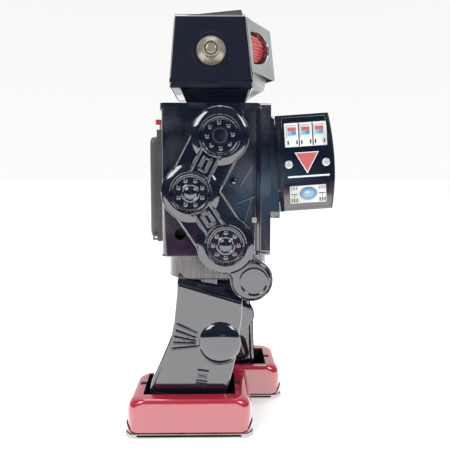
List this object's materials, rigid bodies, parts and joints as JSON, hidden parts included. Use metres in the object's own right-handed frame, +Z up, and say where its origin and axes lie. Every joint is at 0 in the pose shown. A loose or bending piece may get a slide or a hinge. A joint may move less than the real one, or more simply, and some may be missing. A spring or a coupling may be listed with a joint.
{
  "type": "battery-driven tin robot toy",
  "caption": "Standing tin robot with opening chest doors, swinging zigzag arms, striding legs on hidden rollers, turning torso and a battery box on its back.",
  "frame": {"origin": "on the floor, under the centre of the robot's outer box", "axes": "+X the way the robot faces, +Y to its left, +Z up"},
  "size_m": [0.1434, 0.1178, 0.293],
  "materials": {
    "black_lacquer": "high gloss lacquer",
    "silver_paint": "satin metallic",
    "red_lacquer": "high gloss lacquer",
    "door_print": "gloss print on tin",
    "ear_plastic": "aged moulding",
    "black_plastic": "semi gloss moulding",
    "red_plastic": "gloss moulding",
    "chrome": "polished",
    "steel": "plain",
    "gear_plastic": "plain moulding",
    "roller_plastic": "plain moulding",
    "brass": "plain",
    "cell_jacket": "printed jacket, no text",
    "lamp_glass": "clear"
  },
  "bodies": {
    "pelvis": {"waist_band": "silver_paint", "waist_deck": "steel", "swivel_post": "steel", "hip_axle": "steel", "right_gearbox_cheek": "steel", "left_gearbox_cheek": "steel", "gearbox_spacers": "steel", "motor_can": "steel"},
    "torso": {"body_shell": "black_lacquer", "top_plate": "black_lacquer", "floor_plate": "steel", "front_cover": "black_lacquer", "chest_bezel": "black_lacquer", "chest_panel": "black_lacquer", "chest_lamp": "lamp_glass", "right_hinge_pin": "steel", "left_hinge_pin": "steel", "battery_case": "black_plastic", "battery_contacts": "brass", "right_battery": "cell_jacket", "left_battery": "cell_jacket", "switch_plate": "steel", "neck": "black_lacquer", "head_shell": "black_lacquer", "head_cap": "silver_paint", "face_plate": "silver_paint", "right_ear": "ear_plastic", "left_ear": "ear_plastic", "right_eye_cup": "chrome", "left_eye_cup": "chrome", "right_eye_lens": "red_plastic", "left_eye_lens": "red_plastic", "shoulder_rod": "steel", "right_shoulder_spacer": "black_lacquer", "left_shoulder_spacer": "black_lacquer"},
    "crank": {"crank_gear": "gear_plastic", "crankshaft": "steel"},
    "idler": {"idler_gear": "gear_plastic"},
    "motor_rotor": {"motor_pinion": "gear_plastic"},
    "gun_slider": {"gun_carriage": "red_plastic"},
    "cover": {"battery_cover": "black_plastic"},
    "switch": {"switch_lever": "red_plastic"},
    "right_leg_body": {"right_leg": "black_lacquer"},
    "right_foot": {"right_shoe": "red_lacquer", "right_sole": "steel", "right_ankle_bracket": "steel", "right_roller_axles": "steel"},
    "right_front_wheel": {"right_front_roller": "roller_plastic"},
    "right_rear_wheel": {"right_rear_roller": "roller_plastic"},
    "right_arm_body": {"right_arm": "black_lacquer"},
    "right_door_body": {"right_door": "door_print"},
    "left_leg_body": {"left_leg": "black_lacquer"},
    "left_foot": {"left_shoe": "red_lacquer", "left_sole": "steel", "left_ankle_bracket": "steel", "left_roller_axles": "steel"},
    "left_front_wheel": {"left_front_roller": "roller_plastic"},
    "left_rear_wheel": {"left_rear_roller": "roller_plastic"},
    "left_arm_body": {"left_arm": "black_lacquer"},
    "left_door_body": {"left_door": "door_print"}
  },
  "joints": [
    {"name": "torso_turn", "type": "hinge", "parent": "pelvis", "child": "torso", "pos_m": [-0.00809, 0, 0.117], "axis": [0, 0, 1], "continuous": true},
    {"name": "crank_turn", "type": "hinge", "parent": "pelvis", "child": "crank", "pos_m": [-0.0135, 0, 0.094], "axis": [0, 1, 0], "continuous": true},
    {"name": "idler_turn", "type": "hinge", "parent": "pelvis", "child": "idler", "pos_m": [-0.00058, 0, 0.10239], "axis": [0, 1, 0], "continuous": true},
    {"name": "motor_turn", "type": "hinge", "parent": "pelvis", "child": "motor_rotor", "pos_m": [0.00823, 0, 0.10978], "axis": [0, 1, 0], "continuous": true},
    {"name": "right_hip", "type": "hinge", "parent": "pelvis", "child": "right_leg_body", "pos_m": [-0.0135, -0.025, 0.11], "axis": [0, 1, 0], "range_deg": [-16, 0]},
    {"name": "right_ankle", "type": "hinge", "parent": "right_leg_body", "child": "right_foot", "pos_m": [-0.02658, -0.025, 0.01691], "axis": [0, 1, 0], "range_deg": [0, 16]},
    {"name": "right_front_roll", "type": "hinge", "parent": "right_foot", "child": "right_front_wheel", "pos_m": [0.00042, -0.025, 0.004], "axis": [0, 1, 0], "continuous": true},
    {"name": "right_rear_roll", "type": "hinge", "parent": "right_foot", "child": "right_rear_wheel", "pos_m": [-0.05558, -0.025, 0.004], "axis": [0, 1, 0], "continuous": true},
    {"name": "right_arm_swing", "type": "hinge", "parent": "torso", "child": "right_arm_body", "pos_m": [-0.0067, -0.054, 0.205], "axis": [0, 1, 0], "range_deg": [-90, 90]},
    {"name": "right_door_hinge", "type": "hinge", "parent": "torso", "child": "right_door_body", "pos_m": [0.03411, -0.0394, 0.1866], "axis": [-0.0698, 0, 0.9976], "range_deg": [0, 90]},
    {"name": "left_hip", "type": "hinge", "parent": "pelvis", "child": "left_leg_body", "pos_m": [-0.0135, 0.025, 0.11], "axis": [0, 1, 0], "range_deg": [0, 16]},
    {"name": "left_ankle", "type": "hinge", "parent": "left_leg_body", "child": "left_foot", "pos_m": [-0.00041, 0.025, 0.01691], "axis": [0, 1, 0], "range_deg": [-16, 0]},
    {"name": "left_front_roll", "type": "hinge", "parent": "left_foot", "child": "left_front_wheel", "pos_m": [0.02659, 0.025, 0.004], "axis": [0, 1, 0], "continuous": true},
    {"name": "left_rear_roll", "type": "hinge", "parent": "left_foot", "child": "left_rear_wheel", "pos_m": [-0.02941, 0.025, 0.004], "axis": [0, 1, 0], "continuous": true},
    {"name": "left_arm_swing", "type": "hinge", "parent": "torso", "child": "left_arm_body", "pos_m": [-0.0067, 0.054, 0.205], "axis": [0, 1, 0], "range_deg": [-90, 90]},
    {"name": "left_door_hinge", "type": "hinge", "parent": "torso", "child": "left_door_body", "pos_m": [0.03411, 0.0394, 0.1866], "axis": [-0.0698, 0, 0.9976], "range_deg": [-90, 0]},
    {"name": "gun_slide", "type": "slide", "parent": "torso", "child": "gun_slider", "axis": [1, 0, 0], "range_m": [-0.0141, 0]},
    {"name": "battery_cover_hinge", "type": "hinge", "parent": "torso", "child": "cover", "pos_m": [-0.0511, 0, 0.1366], "axis": [0, 1, 0], "range_deg": [-90, 0]},
    {"name": "switch_slide", "type": "slide", "parent": "torso", "child": "switch", "axis": [0, 0, 1], "range_m": [-0.004, 0]}
  ],
  "couplings": [
    {"joint": "idler_turn", "follows": "crank_turn", "ratio": -3.4},
    {"joint": "motor_turn", "follows": "crank_turn", "ratio": 12.24},
    {"joint": "left_hip", "follows": "right_hip", "ratio": -1},
    {"joint": "right_ankle", "follows": "right_hip", "ratio": -1},
    {"joint": "left_ankle", "follows": "right_hip", "ratio": 1},
    {"joint": "left_door_hinge", "follows": "right_door_hinge", "ratio": -1},
    {"joint": "gun_slide", "follows": "right_door_hinge", "m_per_rad": -0.00891}
  ]
}
